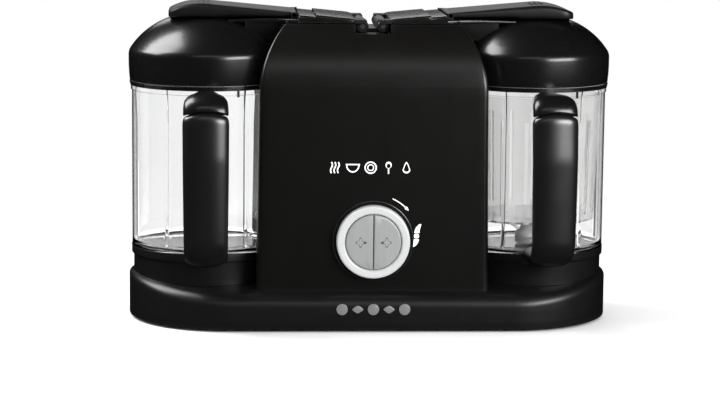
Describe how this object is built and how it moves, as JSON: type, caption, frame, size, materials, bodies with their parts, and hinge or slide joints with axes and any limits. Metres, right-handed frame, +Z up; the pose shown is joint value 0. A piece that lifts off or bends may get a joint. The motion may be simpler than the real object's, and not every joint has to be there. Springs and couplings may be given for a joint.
{
  "type": "baby food maker",
  "caption": "Countertop steam-and-blend baby food maker with twin clear bowls, domed hinged lids with lock levers, a central tower with a turning knob, and a crowned base.",
  "frame": {"origin": "middle of the footprint, on the surface the machine stands on, at the middle pad's underside", "axes": "+X along the row of bowls to the viewer's right, +Y towards the back, +Z up; the knob faces -Y"},
  "size_m": [0.4, 0.1912, 0.2632],
  "materials": {
    "black_satin": "satin, fine-grained",
    "black_gloss": "gloss",
    "dark_plastic": "matte",
    "clear_bowl": "clear, polished",
    "clear_smoke": "clear, lightly smoked",
    "white_plastic": "satin",
    "white_gloss": "gloss",
    "silver_satin": "satin silver",
    "soft_rubber": "matte",
    "seal_silicone": "matte, translucent grey",
    "stainless": "brushed",
    "badge_metal": "brushed, darkened",
    "cast_alloy": "as cast",
    "motor_steel": "varnished laminations",
    "bronze": "sintered",
    "green_board": "satin"
  },
  "bodies": {
    "machine": {"base_housing": "black_satin", "base_plate": "dark_plastic", "base_screws": "stainless", "boilers": "stainless", "control_board": "green_board", "drive_bearings": "bronze", "front_badge": "badge_metal", "heaters": "cast_alloy", "knob_bush": "dark_plastic", "left_drive_belt": "soft_rubber", "left_motor_stator": "motor_steel", "lid_pins": "stainless", "mains_inlet": "dark_plastic", "motor_bracket": "cast_alloy", "right_drive_belt": "soft_rubber", "right_motor_stator": "motor_steel", "rubber_feet": "soft_rubber", "steam_lamp": "white_gloss", "tower_deck": "black_satin", "tower_front_cover": "black_satin", "tower_rear_cover": "black_satin"},
    "left_lid": {"left_lid_shell": "black_gloss", "left_lid_liner": "white_plastic", "left_bowl_seal": "seal_silicone", "left_boiler_seal": "seal_silicone", "left_lever_pin": "stainless"},
    "left_lever": {"left_lock_lever": "black_gloss"},
    "left_plunger": {"left_interlock_plunger": "dark_plastic"},
    "left_bowl": {"left_bowl": "clear_bowl", "left_bowl_foot": "black_satin", "left_handle": "black_gloss", "left_handle_cap": "black_gloss"},
    "left_drive": {"left_drive_pulley": "white_plastic", "left_drive_shaft": "stainless", "left_blade_hub": "white_plastic", "left_blades": "stainless"},
    "left_rotor": {"left_motor_rotor": "motor_steel"},
    "left_button": {"left_pulse_button": "silver_satin"},
    "right_lid": {"right_lid_shell": "black_gloss", "right_lid_liner": "white_plastic", "right_bowl_seal": "seal_silicone", "right_boiler_seal": "seal_silicone", "right_lever_pin": "stainless"},
    "right_lever": {"right_lock_lever": "black_gloss"},
    "right_plunger": {"right_interlock_plunger": "dark_plastic"},
    "right_bowl": {"right_bowl": "clear_bowl", "right_bowl_foot": "black_satin", "right_handle": "black_gloss", "right_handle_cap": "black_gloss", "steam_basket": "clear_smoke"},
    "right_drive": {"right_drive_pulley": "white_plastic", "right_drive_shaft": "stainless", "right_blade_hub": "white_plastic", "right_blades": "stainless"},
    "right_rotor": {"right_motor_rotor": "motor_steel"},
    "right_button": {"right_pulse_button": "silver_satin"},
    "knob": {"knob_ring": "silver_satin"}
  },
  "joints": [
    {"name": "left_lid_hinge", "type": "hinge", "parent": "machine", "child": "left_lid", "pos_m": [-0.0085, 0, 0.245], "axis": [0, 1, 0], "range_deg": [0, 70]},
    {"name": "left_lever_lift", "type": "hinge", "parent": "left_lid", "child": "left_lever", "pos_m": [-0.064, 0, 0.2536], "axis": [0, 1, 0], "range_deg": [0, 20]},
    {"name": "left_plunger_lift", "type": "slide", "parent": "left_lid", "child": "left_plunger", "axis": [0, 0, 1], "range_m": [0, 0.0022]},
    {"name": "left_bowl_twist", "type": "hinge", "parent": "machine", "child": "left_bowl", "pos_m": [-0.1354, 0, 0.0314], "axis": [0, 0, -1], "range_deg": [0, 25]},
    {"name": "left_drive_spin", "type": "hinge", "parent": "machine", "child": "left_drive", "pos_m": [-0.1354, 0, 0.02], "axis": [0, 0, 1], "continuous": true},
    {"name": "left_rotor_spin", "type": "hinge", "parent": "machine", "child": "left_rotor", "pos_m": [-0.036, 0, 0.06], "axis": [0, 0, 1], "continuous": true},
    {"name": "left_button_press", "type": "slide", "parent": "knob", "child": "left_button", "axis": [0, 1, 0], "range_m": [0, 0.0016], "stiffness_N_per_m": 400},
    {"name": "right_lid_hinge", "type": "hinge", "parent": "machine", "child": "right_lid", "pos_m": [0.0085, 0, 0.245], "axis": [0, -1, 0], "range_deg": [0, 70]},
    {"name": "right_lever_lift", "type": "hinge", "parent": "right_lid", "child": "right_lever", "pos_m": [0.064, 0, 0.2536], "axis": [0, -1, 0], "range_deg": [0, 20]},
    {"name": "right_plunger_lift", "type": "slide", "parent": "right_lid", "child": "right_plunger", "axis": [0, 0, 1], "range_m": [0, 0.0022]},
    {"name": "right_bowl_twist", "type": "hinge", "parent": "machine", "child": "right_bowl", "pos_m": [0.1354, 0, 0.0314], "axis": [0, 0, 1], "range_deg": [-5, 20]},
    {"name": "right_drive_spin", "type": "hinge", "parent": "machine", "child": "right_drive", "pos_m": [0.1354, 0, 0.02], "axis": [0, 0, 1], "continuous": true},
    {"name": "right_rotor_spin", "type": "hinge", "parent": "machine", "child": "right_rotor", "pos_m": [0.036, 0, 0.06], "axis": [0, 0, 1], "continuous": true},
    {"name": "right_button_press", "type": "slide", "parent": "knob", "child": "right_button", "axis": [0, 1, 0], "range_m": [0, 0.0016], "stiffness_N_per_m": 400},
    {"name": "knob_turn", "type": "hinge", "parent": "machine", "child": "knob", "pos_m": [0, -0.075, 0.073], "axis": [0, 1, 0], "range_deg": [0, 40]}
  ],
  "couplings": [
    {"joint": "left_plunger_lift", "follows": "left_lever_lift", "m_per_rad": 0.0063},
    {"joint": "left_drive_spin", "follows": "left_rotor_spin", "ratio": 0.4},
    {"joint": "right_plunger_lift", "follows": "right_lever_lift", "m_per_rad": 0.0063},
    {"joint": "right_drive_spin", "follows": "right_rotor_spin", "ratio": 0.4}
  ]
}
